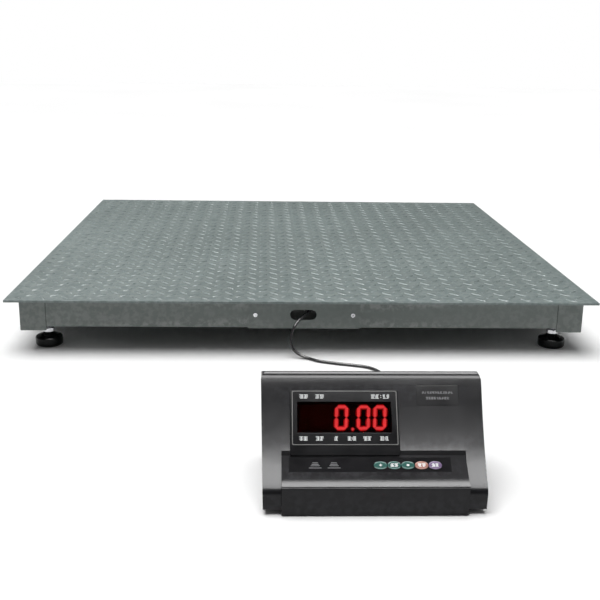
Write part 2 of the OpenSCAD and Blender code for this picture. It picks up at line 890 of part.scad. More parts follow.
key(4, lilac_tint);  // key_5
key_board();
transformer();
battery();
battery_cover();
switch_housing();
power_rocker();
mains_inlet();
fuse_holder();
serial_port();
signal_socket();
signal_plug();
nameplate();
rubber_feet();
case_screws();
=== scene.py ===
import math
import random

import bmesh
import bpy
from mathutils import Matrix, Vector


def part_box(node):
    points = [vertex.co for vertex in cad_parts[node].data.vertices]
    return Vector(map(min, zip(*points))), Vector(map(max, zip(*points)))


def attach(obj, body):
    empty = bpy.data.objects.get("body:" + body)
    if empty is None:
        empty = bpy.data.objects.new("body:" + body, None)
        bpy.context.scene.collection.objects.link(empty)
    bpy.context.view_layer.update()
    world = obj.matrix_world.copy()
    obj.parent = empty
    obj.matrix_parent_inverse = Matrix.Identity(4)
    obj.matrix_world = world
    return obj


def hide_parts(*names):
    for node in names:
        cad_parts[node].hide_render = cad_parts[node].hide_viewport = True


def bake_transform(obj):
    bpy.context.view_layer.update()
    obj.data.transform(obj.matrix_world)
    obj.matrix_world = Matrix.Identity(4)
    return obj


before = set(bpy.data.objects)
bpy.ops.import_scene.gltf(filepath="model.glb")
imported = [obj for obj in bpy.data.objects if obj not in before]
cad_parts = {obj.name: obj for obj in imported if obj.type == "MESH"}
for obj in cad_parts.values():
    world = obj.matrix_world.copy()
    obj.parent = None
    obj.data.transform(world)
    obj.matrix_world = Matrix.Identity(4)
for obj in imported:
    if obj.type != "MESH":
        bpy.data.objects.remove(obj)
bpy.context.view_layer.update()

# A low tread-plate platform scale on four levelling feet, with a desk-top indicator on a cable.
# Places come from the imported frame. Shapes are drawn in millimetres and scaled to metres by MM.

random.seed(7)
MM = Matrix.Scale(0.001, 4)
CORNERS = ("fl", "fr", "bl", "br")


def millimetres(node):
    """Lowest and highest corner of a CAD node, in millimetres."""
    low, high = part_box(node)
    return low * 1000, high * 1000


# ---- camera ----

CAMERA_AT = (-0.0693, -2.0089, 0.5201)
CAMERA_TURN = (2.309, 15.61, 0.923)     # degrees to the right, down, and about the line of sight
CAMERA_LENS, CAMERA_SENSOR, CAMERA_REACH = 56.29, 36, 50


def make_camera():
    """Camera in front of the scale, a little above it, turned slightly to the right."""
    yaw, pitch, roll = (math.radians(a) for a in CAMERA_TURN)
    forward = Vector((math.sin(yaw) * math.cos(pitch), math.cos(yaw) * math.cos(pitch),
                      -math.sin(pitch)))
    level = Vector((math.cos(yaw), -math.sin(yaw), 0))
    upright = level.cross(forward)
    right = level * math.cos(roll) + upright * math.sin(roll)
    up = upright * math.cos(roll) - level * math.sin(roll)
    camera = bpy.data.objects.new("camera", bpy.data.cameras.new("camera"))
    bpy.context.scene.collection.objects.link(camera)
    turn = Matrix((right, up, -forward)).transposed().to_4x4()
    camera.matrix_world = Matrix.Translation(CAMERA_AT) @ turn
    camera.data.sensor_width = CAMERA_SENSOR
    camera.data.lens = CAMERA_LENS
    camera.data.clip_end = CAMERA_REACH
    bpy.context.scene.camera = camera


# ---- materials ----

MIX_FIRST, MIX_SECOND, MIX_RESULT = 6, 7, 2     # the colour sockets of a Mix node


def feed(tree, value, socket):
    """Puts a socket, a number or a colour into an input."""
    if isinstance(value, bpy.types.NodeSocket):
        tree.links.new(value, socket)
    elif isinstance(value, (int, float)):
        socket.default_value = value
    else:
        socket.default_value = (*value, 1)


def mixed(tree, share, first, second):
    """Colour mix of two colours or sockets by a share socket."""
    mix = tree.nodes.new("ShaderNodeMix")
    mix.data_type = "RGBA"
    tree.links.new(share, mix.inputs["Factor"])
    feed(tree, first, mix.inputs[MIX_FIRST])
    feed(tree, second, mix.inputs[MIX_SECOND])
    return mix.outputs[MIX_RESULT]


def ranged(tree, value, low, high, bottom=0.0, top=1.0):
    """A socket's range low to high brought to bottom to top, and held there beyond it."""
    ramp = tree.nodes.new("ShaderNodeMapRange")
    ramp.inputs["From Min"].default_value = low
    ramp.inputs["From Max"].default_value = high
    ramp.inputs["To Min"].default_value = bottom
    ramp.inputs["To Max"].default_value = top
    tree.links.new(value, ramp.inputs["Value"])
    return ramp.outputs[0]


def noise_share(tree, coords, scale, low, high, stretch=(1, 1, 1), detail=4.0):
    """Noise in object space, brought to 0 below low and 1 above high."""
    mapping = tree.nodes.new("ShaderNodeMapping")
    mapping.inputs["Scale"].default_value = stretch
    tree.links.new(coords, mapping.inputs["Vector"])
    cloud = tree.nodes.new("ShaderNodeTexNoise")
    cloud.inputs["Scale"].default_value = scale
    cloud.inputs["Detail"].default_value = detail
    tree.links.new(mapping.outputs[0], cloud.inputs["Vector"])
    return ranged(tree, cloud.outputs["Fac"], low, high)


def times(tree, first, second):
    """Product of two sockets, or of a socket and a number."""
    product = tree.nodes.new("ShaderNodeMath")
    product.operation = "MULTIPLY"
    tree.links.new(first, product.inputs[0])
    feed(tree, second, product.inputs[1])
    return product.outputs[0]


COAT_ROUGHNESS = 0.12


def material(name, tint, rough, metal=0.0, tone=0.10, patch=9.0, grain=900.0, relief=0.00003,
             stretch=(1, 1, 1), edge_tint=None, edge_share=0.0, scuff=None, scuffs=0.0, coat=0.0, level=0.5,
             glow=None, glow_strength=0.0, clear=0.0, ior=1.45):
    """Surface whose colour, roughness and relief all vary through noise in object space.

    tone is the share by which the tint drifts, patch the size of the drift in cycles a metre and
    grain that of the relief. edge_tint colours the edges by edge_share: wear, and on the deck
    also a painted highlight. scuff colours the long rubs by scuffs.
    """
    made = bpy.data.materials.new(name)
    made.use_nodes = True
    tree = made.node_tree
    shader = tree.nodes["Principled BSDF"]
    coords = tree.nodes.new("ShaderNodeTexCoord").outputs["Object"]
    drift = noise_share(tree, coords, patch, 0.3, 0.7)
    colour = mixed(tree, drift, [c * (1 - tone) for c in tint],
                   [min(1, c * (1 + tone)) for c in tint])
    fine = noise_share(tree, coords, grain, 0.25, 0.75, stretch, 3.0)
    rough_socket = ranged(tree, times(tree, fine, drift), 0, 1, rough * 0.82, min(1, rough * 1.3))
    if scuffs:
        rubs = times(tree, noise_share(tree, coords, 26, 0.60, 0.68, (1, 7, 3), 6.0), scuffs)
        colour = mixed(tree, rubs, colour, scuff)
    if edge_share:
        edge = tree.nodes.new("ShaderNodeNewGeometry").outputs["Pointiness"]
        edge_mask = times(tree, ranged(tree, edge, 0.53, 0.62),
                       noise_share(tree, coords, 120, 0.42, 0.6))
        colour = mixed(tree, times(tree, edge_mask, edge_share), colour, edge_tint)
    bump = tree.nodes.new("ShaderNodeBump")
    bump.inputs["Distance"].default_value = relief
    tree.links.new(fine, bump.inputs["Height"])
    tree.links.new(bump.outputs[0], shader.inputs["Normal"])
    tree.links.new(colour, shader.inputs["Base Color"])
    tree.links.new(rough_socket, shader.inputs["Roughness"])
    shader.inputs["Metallic"].default_value = metal
    shader.inputs["Coat Weight"].default_value = coat
    shader.inputs["Coat Roughness"].default_value = COAT_ROUGHNESS
    shader.inputs["Specular IOR Level"].default_value = level
    shader.inputs["Transmission Weight"].default_value = clear
    shader.inputs["IOR"].default_value = ior
    if glow:
        shader.inputs["Emission Color"].default_value = (*glow, 1)
        shader.inputs["Emission Strength"].default_value = glow_strength
    return made


MATERIALS = {
    # The deck's lighter edges are partly worn paint and partly a painted highlight along the
    # plate's front edge.
    "deck_paint": material("deck_paint", (0.150, 0.184, 0.180), 0.40, tone=0.07, patch=5,
                           grain=700, edge_tint=(0.36, 0.39, 0.38), edge_share=0.6,
                           scuff=(0.20, 0.235, 0.23), scuffs=0.15, level=0.25),
    # The frame has the deck's grey-green paint; this darker copy of it is painted shade for the
    # frame's faces under the deck's edge.
    "frame_paint": material("frame_paint", (0.120, 0.140, 0.131), 0.42, tone=0.06, patch=14,
                            grain=420, relief=0.00005, edge_tint=(0.30, 0.31, 0.30), edge_share=0.5,
                            scuff=(0.15, 0.165, 0.158), scuffs=0.10),
    "cell_steel": material("cell_steel", (0.62, 0.63, 0.64), 0.30, metal=1.0, grain=500,
                           relief=0.00002, stretch=(0.1, 1, 1), tone=0.06),
    "black_steel": material("black_steel", (0.035, 0.035, 0.037), 0.42, metal=0.6, grain=600,
                            edge_tint=(0.3, 0.3, 0.3), edge_share=0.5),
    "zinc_steel": material("zinc_steel", (0.66, 0.67, 0.69), 0.24, metal=1.0, tone=0.12, patch=90,
                           grain=1400, edge_tint=(0.86, 0.86, 0.87), edge_share=0.7),
    "grey_plastic": material("grey_plastic", (0.34, 0.35, 0.34), 0.48, grain=1600, relief=0.00004),
    "circuit_board": material("circuit_board", (0.02, 0.13, 0.06), 0.35, tone=0.4, patch=260,
                              grain=900, stretch=(1, 6, 1), coat=0.3),
    "trimmer_blue": material("trimmer_blue", (0.03, 0.08, 0.35), 0.4, grain=1200),
    "terminal_green": material("terminal_green", (0.03, 0.24, 0.08), 0.45, grain=1200),
    "gland_nylon": material("gland_nylon", (0.018, 0.018, 0.018), 0.45, grain=1300),
    "cable_jacket": material("cable_jacket", (0.012, 0.012, 0.013), 0.26, tone=0.2, grain=1100,
                             coat=0.4),
    "foot_black": material("foot_black", (0.004, 0.005, 0.005), 0.15, tone=0.2, patch=60,
                           grain=500, edge_tint=(0.03, 0.03, 0.03), edge_share=0.3, level=0.22),
    "case_black": material("case_black", (0.0080, 0.0078, 0.0092), 0.21, tone=0.12, patch=20,
                           grain=2300, relief=0.00002, edge_tint=(0.03, 0.03, 0.035), edge_share=0.35,
                           level=0.26),
    "panel_film": material("panel_film", (0.006, 0.006, 0.007), 0.18, tone=0.15, patch=40,
                           grain=1500, relief=0.00001, level=0.20),
    "smoked_window": material("smoked_window", (0.55, 0.10, 0.10), 0.03, tone=0.05, patch=40,
                              grain=60, relief=0.00001, clear=1.0, ior=1.12),
    "led_red": material("led_red", (0.004, 0.003, 0.003), 0.6, tone=0.2, grain=1500, level=0.05),
    "laminated_steel": material("laminated_steel", (0.30, 0.30, 0.32), 0.4, metal=0.8, grain=900,
                                stretch=(1, 1, 8), relief=0.0002),
    "battery_case": material("battery_case", (0.03, 0.03, 0.04), 0.5, grain=900),
    "fitting_black": material("fitting_black", (0.014, 0.014, 0.015), 0.34, grain=1700,
                              relief=0.00004),
    "rocker_red": material("rocker_red", (0.45, 0.012, 0.012), 0.3, grain=1500, coat=0.2),
    "connector_metal": material("connector_metal", (0.62, 0.62, 0.64), 0.28, metal=1.0, grain=900,
                                tone=0.08, patch=120),
    "plug_black": material("plug_black", (0.016, 0.016, 0.017), 0.42, grain=1400, relief=0.00006),
    "pad_rubber": material("pad_rubber", (0.012, 0.012, 0.012), 0.75, grain=1000, relief=0.00008),
}
for key_slot, key_tint in (("key_green", (0.016, 0.092, 0.076)),
                           ("key_salmon", (0.38, 0.175, 0.135)),
                           ("key_lilac", (0.155, 0.100, 0.205))):
    MATERIALS[key_slot] = material(key_slot, key_tint, 0.20, grain=1500, relief=0.00002, level=0.3)
# Paint of the raised marks, lighter than the plate's: partly rubbed tops and partly a painted
# highlight for the marks' glints.
RUBBED_PAINT_AND_HIGHLIGHT = material("rubbed_paint_and_highlight", (0.185, 0.220, 0.216), 0.30, tone=0.12, patch=30, grain=900,
                        relief=0.00004, scuff=(0.26, 0.29, 0.28), scuffs=0.3, level=0.35)
PRINT_WHITE = material("print_white", (0.80, 0.82, 0.82), 0.55, tone=0.05, patch=300, grain=2000)
PRINT_GREY = material("print_grey", (0.085, 0.085, 0.092), 0.5, tone=0.1, patch=300, grain=2000)
# Grey for thin lines painted as highlights along raised edges.
EDGE_HIGHLIGHT_GREY = material("edge_highlight_grey", (0.085, 0.085, 0.080), 0.40, tone=0.15, patch=60,
                        grain=2000)
LED_LIT = material("led_lit", (0.3, 0.03, 0.03), 0.4, tone=0.05, grain=1500,
                   glow=(1.0, 0.50, 0.54), glow_strength=0.78)
LED_HALO = material("led_halo", (0.2, 0.01, 0.01), 0.6, tone=0.05, grain=1500,
                    glow=(1.0, 0.015, 0.01), glow_strength=0.12)
GOLD = material("contact_gold", (0.80, 0.58, 0.25), 0.25, metal=1.0, tone=0.08, patch=300,
                grain=2000)


# ---- mesh helpers ----

def shade(mesh, degrees=32):
    """Smooth shading, broken along edges that are sharper than the angle."""
    work = bmesh.new()
    work.from_mesh(mesh)
    limit = math.radians(degrees)
    for face in work.faces:
        face.smooth = True
    for edge in work.edges:
        edge.smooth = len(edge.link_faces) != 2 or edge.calc_face_angle(0) < limit
    work.to_mesh(mesh)
    work.free()


def add_piece(name, mesh, slot, body, nodes=(), finish=None, place=None):
    """Links a mesh as a named piece that rides on a body and stands for CAD nodes.

    The modifier keeps big faces flat between their rounded edges.
    """
    if place is not None:
        mesh.transform(place)
    mesh.materials.clear()
    mesh.materials.append(finish or MATERIALS[slot])
    piece = bpy.data.objects.new(name, mesh)
    bpy.context.scene.collection.objects.link(piece)
    piece.modifiers.new("flat_faces", "WEIGHTED_NORMAL").keep_sharp = True
    if body:
        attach(piece, body)
    if nodes:
        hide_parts(*nodes)
    return piece


def mesh_of(vertices, faces, degrees=32):
    """Mesh from vertices and faces, cleaned and shaded."""
    mesh = bpy.data.meshes.new("shape")
    mesh.from_pydata([tuple(v) for v in vertices], [], faces)
    mesh.validate()
    work = bmesh.new()
    work.from_mesh(mesh)
    bmesh.ops.recalc_face_normals(work, faces=work.faces)
    work.to_mesh(mesh)
    work.free()
    shade(mesh, degrees)
    return mesh


def joined(meshes, degrees=32):
    """One mesh from several."""
    work = bmesh.new()
    for mesh in meshes:
        work.from_mesh(mesh)
    mesh = bpy.data.meshes.new("shape")
    work.to_mesh(mesh)
    work.free()
    shade(mesh, degrees)
    return mesh


def moved(mesh, place):
    """A copy of a mesh under a matrix."""
    copy = mesh.copy()
    copy.transform(place)
    return copy


SHARP = math.radians(28)      # edges beyond this angle are rounded
NEARLY_FLAT = math.radians(0.4)
SAME_PLACE = 2e-6
ON_LINE = 1e-5
LIP_RADIUS = 0.0022


def edged(node, width, segments=2, soft_lip=False):
    """Copy of a CAD node's mesh with its edges rounded by width millimetres.

    soft_lip gives the level edge along the front a larger radius.
    """
    work = bmesh.new()
    work.from_mesh(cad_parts[node].data)
    bmesh.ops.remove_doubles(work, verts=work.verts, dist=SAME_PLACE)
    bmesh.ops.dissolve_limit(work, angle_limit=NEARLY_FLAT, verts=work.verts, edges=work.edges)
    if soft_lip:
        front = min(v.co.y for v in work.verts)
        rim = [e for e in work.edges if all(abs(v.co.y - front) < ON_LINE for v in e.verts)
               and (e.verts[0].co - e.verts[1].co).normalized().x ** 2 > 0.99]
        top = max(e.verts[0].co.z for e in rim)
        rim = [e for e in rim if abs(e.verts[0].co.z - top) < ON_LINE]
        bmesh.ops.bevel(work, geom=rim, offset=LIP_RADIUS, segments=5, profile=0.5,
                        affect="EDGES")
    sharp = [e for e in work.edges if len(e.link_faces) == 2 and e.calc_face_angle(0) > SHARP]
    bmesh.ops.bevel(work, geom=sharp, offset=width / 1000, segments=segments, profile=0.5,
                    affect="EDGES", clamp_overlap=True)
    mesh = bpy.data.meshes.new(node)
    work.to_mesh(mesh)
    work.free()
    shade(mesh, 24)
    return mesh


def lathe(profile, sides, degrees=32):
    """Solid of revolution about Z from (radius, height) points that start and end on the axis."""
    inner = profile[1:-1]
    vertices = [(0, 0, profile[0][1])]
    for radius, height in inner:
        for k in range(sides):
            angle = 2 * math.pi * k / sides
            vertices.append((radius * math.cos(angle), radius * math.sin(angle), height))
    vertices.append((0, 0, profile[-1][1]))
    last = len(vertices) - 1
    faces = [(0, 1 + (k + 1) % sides, 1 + k) for k in range(sides)]
    for i in range(len(inner) - 1):
        low = 1 + i * sides
        for k in range(sides):
            near, far = low + k, low + (k + 1) % sides
            faces.append((near, far, far + sides, near + sides))
    top = 1 + (len(inner) - 1) * sides
    faces += [(top + k, top + (k + 1) % sides, last) for k in range(sides)]
    return mesh_of(vertices, faces, degrees)


def smooth_line(points, step):
    """Points about a step apart on a Catmull-Rom curve through the given ones."""
    given = [Vector(p) for p in points]
    ends = [2 * given[0] - given[1], *given, 2 * given[-1] - given[-2]]
    line = []
    for i in range(1, len(ends) - 2):
        a, b, c, d = ends[i - 1:i + 3]
        count = max(1, round((c - b).length / step))
        for k in range(count):
            t = k / count
            line.append(0.5 * (2 * b + (c - a) * t + (2 * a - 5 * b + 4 * c - d) * t * t
                               + (3 * b - a - 3 * c + d) * t ** 3))
    return line + [given[-1]]


def tube(line, radius, sides=12, swell=None):
    """Closed round tube along a line. swell gives each ring's radius as a share of the radius."""
    rings, faces, side = [], [], Vector((0.02, 0.03, 1))
    for i, point in enumerate(line):
        ahead = (line[min(i + 1, len(line) - 1)] - line[max(i - 1, 0)]).normalized()
        side = (side - ahead * side.dot(ahead)).normalized()
        other = ahead.cross(side)
        size = radius * (swell(i) if swell else 1)
        for k in range(sides):
            angle = 2 * math.pi * k / sides
            rings.append(point + size * (math.cos(angle) * side + math.sin(angle) * other))
    for i in range(len(line) - 1):
        for k in range(sides):
            near, far = i * sides + k, i * sides + (k + 1) % sides
            faces.append((near, far, far + sides, near + sides))
    faces.append(tuple(range(sides)))
    faces.append(tuple(len(rings) - 1 - k for k in range(sides)))
    return mesh_of(rings, faces, 50)


def flat_shape(outlines, depth, round_by=0.0, steps=2):
    """Plate from closed outlines on z = 0, depth thick, with rounded rims.

    Inner outlines are holes.
    """
    curve = bpy.data.curves.new("outline", "CURVE")
    curve.dimensions = "2D"
    curve.fill_mode = "BOTH"
    for outline in outlines:
        spline = curve.splines.new("POLY")
        spline.points.add(len(outline) - 1)
        for point, (x, y) in zip(spline.points, outline):
            point.co = (x, y, 0, 1)
        spline.use_cyclic_u = True
    curve.extrude = depth / 2 - round_by
    curve.bevel_depth = round_by
    curve.bevel_resolution = steps
    curve.offset = -round_by
    holder = bpy.data.objects.new("outline", curve)
    bpy.context.scene.collection.objects.link(holder)
    made = holder.evaluated_get(bpy.context.evaluated_depsgraph_get())
    mesh = bpy.data.meshes.new_from_object(made)
    bpy.data.objects.remove(holder)
    work = bmesh.new()
    work.from_mesh(mesh)
    bmesh.ops.remove_doubles(work, verts=work.verts, dist=1e-4)
    bmesh.ops.translate(work, verts=work.verts, vec=(0, 0, depth / 2))
    bmesh.ops.recalc_face_normals(work, faces=work.faces)
    work.to_mesh(mesh)
    work.free()
    shade(mesh)
    return mesh


def rounded_box(x, y, radius, steps=5):
    """Outline of a rectangle from x and y ranges, with round corners."""
    outline = []
    for cx, cy, start in ((x[1], y[1], 0), (x[0], y[1], 90), (x[0], y[0], 180), (x[1], y[0], 270)):
        for k in range(steps + 1):
            angle = math.radians(start + 90 * k / steps)
            outline.append((cx + radius * (math.cos(angle) - (1 if cx == x[1] else -1)),
                            cy + radius * (math.sin(angle) - (1 if cy == y[1] else -1))))
    return outline


def ellipse(x, y, half_x, half_y, power=1.0, count=40):
    """Closed outline of an ellipse, or of a blunter or sharper oval by the power."""
    outline = []
    for k in range(count):
        angle = 2 * math.pi * k / count
        c, s = math.cos(angle), math.sin(angle)
        outline.append((x + half_x * math.copysign(abs(c) ** power, c),
                        y + half_y * math.copysign(abs(s) ** power, s)))
    return outline


# ---- signal cable ----

CABLE_D = 0.005
CABLE_RUN = [
    (.008, -.462, .070), (.008, -.470, .071), (.007, -.478, .0715), (.002, -.486, .069),
    (-.005, -.493, .065), (-.012, -.499, .0595), (-.018, -.504, .051), (-.022, -.507, .040),
    (-.023, -.510, .027), (-.020, -.512, .017), (-.013, -.514, .010), (-.004, -.516, .005),
    (.008, -.522, .0025), (.024, -.535, .0025), (.054, -.547, .0025), (.082, -.556, .0025),
    (.101, -.564, .0025), (.115, -.580, .0025), (.123, -.604, .0025), (.127, -.636, .0025),
    (.128, -.680, .0025), (.128, -.720, .0025), (.128, -.752, .0025),
]
CABLE_TAIL = [
    (.118, -.762, .0175), (.118, -.770, .0205), (.118, -.779, .0228), (.118, -.790, .0238),
    (.117, -.802, .025), (.115, -.816, .028), (.112, -.830, .034), (.110, -.842, .0395),
    (.110, -.850, .0415), (.110, -.8595, .0415),
]
COIL_AT = (.093, -.760)
COIL_RADII = (.035, .030, .025)
COIL_LEVELS = 4
COIL_STEP_ANGLE = 0.6
COIL_POINTS = 48
CABLE_STEP = 0.004
TIE_ANGLE = math.radians(17)
TIE_WIDTH, TIE_THICK = 9.0, 0.7


def coil_line():
    """Turns side by side and on each other: up the outer layer, down the next, up the inner one."""
    states = []
    for layer, radius in enumerate(COIL_RADII):
        levels = range(COIL_LEVELS) if layer % 2 == 0 else reversed(range(COIL_LEVELS))
        states += [(radius, CABLE_D * (level + 0.5)) for level in levels]
    line = []
    for i, (radius, height) in enumerate(states):
        next_radius, next_height = states[min(i + 1, len(states) - 1)]
        for k in range(COIL_POINTS):
            angle = 2 * math.pi * k / COIL_POINTS
            share = max(0.0, (angle - 2 * math.pi + COIL_STEP_ANGLE) / COIL_STEP_ANGLE)
            share = share * share * (3 - 2 * share)
            r = radius + share * (next_radius - radius)
            z = height + share * (next_height - height)
            line.append((COIL_AT[0] + r * math.cos(angle), COIL_AT[1] - r * math.sin(angle), z))
    line.append((COIL_AT[0] + COIL_RADII[-1], COIL_AT[1], states[-1][1]))
    return line


def make_cable():
    """The cord from the junction box's gland to the plug, its tie, and the plug."""
    coiled = coil_line()
    line = smooth_line([*CABLE_RUN, coiled[0]], CABLE_STEP)[:-1]
    line += [Vector(p) for p in coiled]
    line += smooth_line([coiled[-1], *CABLE_TAIL], CABLE_STEP)[1:]
    cord = add_piece("signal_cord", tube(line, CABLE_D / 2), "cable_jacket", None,
                     ("signal_cable_run", "signal_cable_coil", "signal_cable_tail"))
    tie = make_tie()
    plug = make_plug()
    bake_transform(cord)


def make_tie():
    """Woven band round the coil's turns, where they step from one to the next."""
    top = millimetres("signal_cable_coil")[1].z + 0.3
    inner, outer = 22.2, 37.8
    section = rounded_box((inner, outer), (0.0, top), 3.0)
    band, faces = [], []
    outlines = [section, rounded_box((inner - TIE_THICK, outer + TIE_THICK),
                                     (0.0, top + TIE_THICK), 3.6)]
    for along in (-TIE_WIDTH / 2, TIE_WIDTH / 2):
        for outline in outlines:
            band += [(x, along, z) for x, z in outline]
    count = len(section)
    for k in range(count):
        n = (k + 1) % count
        faces.append((k, n, count + n, count + k))
        faces.append((2 * count + k, 3 * count + k, 3 * count + n, 2 * count + n))
        faces.append((k, 2 * count + k, 2 * count + n, n))
        faces.append((count + k, count + n, 3 * count + n, 3 * count + k))
    place = MM @ Matrix.Translation((COIL_AT[0] * 1000, COIL_AT[1] * 1000, 0))
    place = place @ Matrix.Rotation(TIE_ANGLE, 4, "Z")
    return add_piece("coil_tie", mesh_of(band, faces), "pad_rubber", "platform", place=place)


# ---- indicator frames, in its own millimetres ----

PANEL_SLOPE, PANEL_BASE = 55, (36, 60.8)
KEYPAD_SLOPE, KEYPAD_BASE = 35, (12, 40.2)
REAR_Z = 40


def indicator_origin():
    """Middle of the indicator's front edge at its underside, in millimetres."""
    low, high = millimetres("lower_case")
    return Vector(((low.x + high.x) / 2, low.y, low.z))


ORIGIN = indicator_origin()
CASE_BACK = millimetres("lower_case")[1].y - ORIGIN.y


def on_slope(base, degrees, x, s, lift):
    """Matrix from millimetres on a slope of the indicator (x across, y up it, z out) to metres."""
    return (MM @ Matrix.Translation(ORIGIN + Vector((x, base[0], base[1])))
            @ Matrix.Rotation(math.radians(degrees), 4, "X") @ Matrix.Translation((0, s, lift)))


def on_panel(lift):
    """Frame on the display slope."""
    return on_slope(PANEL_BASE, PANEL_SLOPE, 0, 0, lift)


def on_keypad(lift, x=0.0, s=0.0):
    """Frame on the keypad slope."""
    return on_slope(KEYPAD_BASE, KEYPAD_SLOPE, x, s, lift)


def on_rear(x, lift=0.0):
    """Frame on the rear wall: x across, y down, z out of the wall."""
    return (MM @ Matrix.Translation(ORIGIN + Vector((x, CASE_BACK, REAR_Z)))
            @ Matrix.Rotation(math.radians(-90), 4, "X") @ Matrix.Translation((0, 0, lift)))


SIGNAL_X = 51.5
SERIAL_X = 14


D_RADIUS, D_LEAN = 2.2, 0.18


def d_outline(width, height):
    """Outline of a D connector: its wide side is at -y, which is up on the rear wall."""
    lean = height * D_LEAN
    corners = [(width / 2, -height / 2), (width / 2 - lean, height / 2),
               (lean - width / 2, height / 2), (-width / 2, -height / 2)]
    outline = []
    for i, corner in enumerate(corners):
        here = Vector(corner)
        before = (Vector(corners[i - 1]) - here).normalized() * D_RADIUS
        after = (Vector(corners[(i + 1) % 4]) - here).normalized() * D_RADIUS
        for k in range(6):
            t = k / 5
            outline.append(tuple(here + before * (1 - t) ** 2 + after * t * t))
    return outline


def make_plug():
    """Moulded hood with two thumb screws, a D shell and a ribbed strain relief."""
    hood = flat_shape([[(-16.5, 5.4), (16.5, 5.4), (16.5, 20), (15.2, 23), (11.6, 28), (8.4, 33.6),
                        (-8.4, 33.6), (-11.6, 28), (-15.2, 23), (-16.5, 20)]], 15.0, 1.6, 3)
    upright = Matrix.Translation((0, 7.5, 0)) @ Matrix.Rotation(math.radians(90), 4, "X")
    parts = [moved(hood, upright)]
    grip = [(0, 33.4), (5.2, 33.4)]
    for k in range(4):
        z = 33.8 + 2 * k
        grip += [(5.0 - 0.35 * k, z), (5.0 - 0.35 * k, z + 1.1), (3.9 - 0.25 * k, z + 1.35),
                 (3.9 - 0.25 * k, z + 1.8)]
    grip += [(3.4, 41.8), (0, 41.8)]
    parts.append(lathe(grip, 32))
    for side in (-1, 1):
        for k in range(3):
            rib = flat_shape([rounded_box((-0.6, 0.6), (-5.5, 5.5), 0.5)], 0.9, 0.2, 1)
            turn = Matrix.Rotation(math.radians(90 * side), 4, "Y")
            parts.append(moved(rib, Matrix.Translation((side * 16.2, 0, 9 + 3 * k)) @ turn))
    plug = add_piece("cord_plug", joined(parts), "plug_black", "indicator", ("signal_plug",),
                     place=on_rear(SIGNAL_X))
    shell = flat_shape([d_outline(18.6, 10.4), d_outline(17.4, 9.2)], 6.4, 0.2, 1)
    add_piece("cord_plug_shell", shell, "connector_metal", "indicator",
              place=on_rear(SIGNAL_X, 1.3))
    return plug


# ---- platform ----

MARK_PITCH = (39.0, 35.6)
MARK_START = (-480.0, -483.0)
MARK_LENGTH, MARK_WIDTH, MARK_RISE = 23.0, 7.6, 1.35
MARK_ANGLE = 48
MARK_SIDES = 12
MARK_MARGIN = 9.5
# share of the length, share of the width and height of each ring; the first one is in millimetres
MARK_RINGS = ((1, 1, -0.25), (0.88, 0.72, 0.5), (0.66, 0.42, 0.88), (0.4, 0.16, 1))


def tread_mark(vertices, faces, x, y, top, degrees):
    """Adds one raised pointed lens, sunk a little into the plate."""
    start = len(vertices)
    turn = math.radians(degrees)
    for scale_x, scale_y, rise in MARK_RINGS:
        for k in range(MARK_SIDES):
            angle = 2 * math.pi * k / MARK_SIDES
            along = math.cos(angle) * MARK_LENGTH / 2 * scale_x
            across = math.sin(angle) * abs(math.sin(angle)) ** 0.5 * MARK_WIDTH / 2 * scale_y
            vertices.append((x + along * math.cos(turn) - across * math.sin(turn),
                             y + along * math.sin(turn) + across * math.cos(turn),
                             top + rise * (MARK_RISE if rise > 0 else 1)))
    last = len(MARK_RINGS) - 1
    for ring in range(last):
        low = start + ring * MARK_SIDES
        for k in range(MARK_SIDES):
            near, far = low + k, low + (k + 1) % MARK_SIDES
            faces.append((near, far, far + MARK_SIDES, near + MARK_SIDES))
    faces.append(tuple(start + MARK_SIDES - 1 - k for k in range(MARK_SIDES)))
    faces.append(tuple(start + last * MARK_SIDES + k for k in range(MARK_SIDES)))


def make_deck():
    """Rolled tread plate: a plate with slightly broken edges, and crossed rows of raised marks."""
    low, high = millimetres("deck_plate")
    plate = moved(edged("deck_plate", 0.7), Matrix.Scale(1000, 4))
    vertices, faces = [], []
    columns = int((high.x - low.x) / MARK_PITCH[0]) + 2
    rows = int((high.y - low.y) / MARK_PITCH[1]) + 2
    for shift, degrees in ((0, -MARK_ANGLE), (0.5, MARK_ANGLE)):
        for i in range(-1, columns):
            for j in range(-1, rows):
                x = MARK_START[0] + (i + shift) * MARK_PITCH[0]
                y = MARK_START[1] + (j + shift) * MARK_PITCH[1]
                if abs(x) < high.x - MARK_MARGIN and abs(y) < high.y - MARK_MARGIN:
                    tilt = degrees + random.uniform(-1.5, 1.5)
                    tread_mark(vertices, faces, x, y, high.z, tilt)
    marks = mesh_of(vertices, faces, 60)
    add_piece("tread_plate", plate, "deck_paint", "platform", ("deck_plate",), place=MM)
    # The marks' lighter paint is partly wear and partly painted highlight.
    add_piece("tread_marks", marks, "deck_paint", "platform", finish=RUBBED_PAINT_AND_HIGHLIGHT, place=MM)


BEAD_RADIUS, BEAD_STEP = 2.0, 1.6
EDGE_WELDS = (160, 20)      # spacing and half length, along the channels
BEAM_WELDS = (170, 18)      # and along the beams
BEAM_WIDTH = 40


def weld_bead(a, b):
    """Short rippled bead between two points, in millimetres."""
    count = max(6, round((b - a).length / BEAD_STEP))
    line = [a + (b - a) * (k / count) for k in range(count + 1)]

    def ripple(i):
        return 0.55 + 0.45 * math.sin(math.pi * min(1, i / 2, (count - i) / 2) / 2) + 0.12 * (i % 2)
    return tube(line, BEAD_RADIUS, 8, ripple)


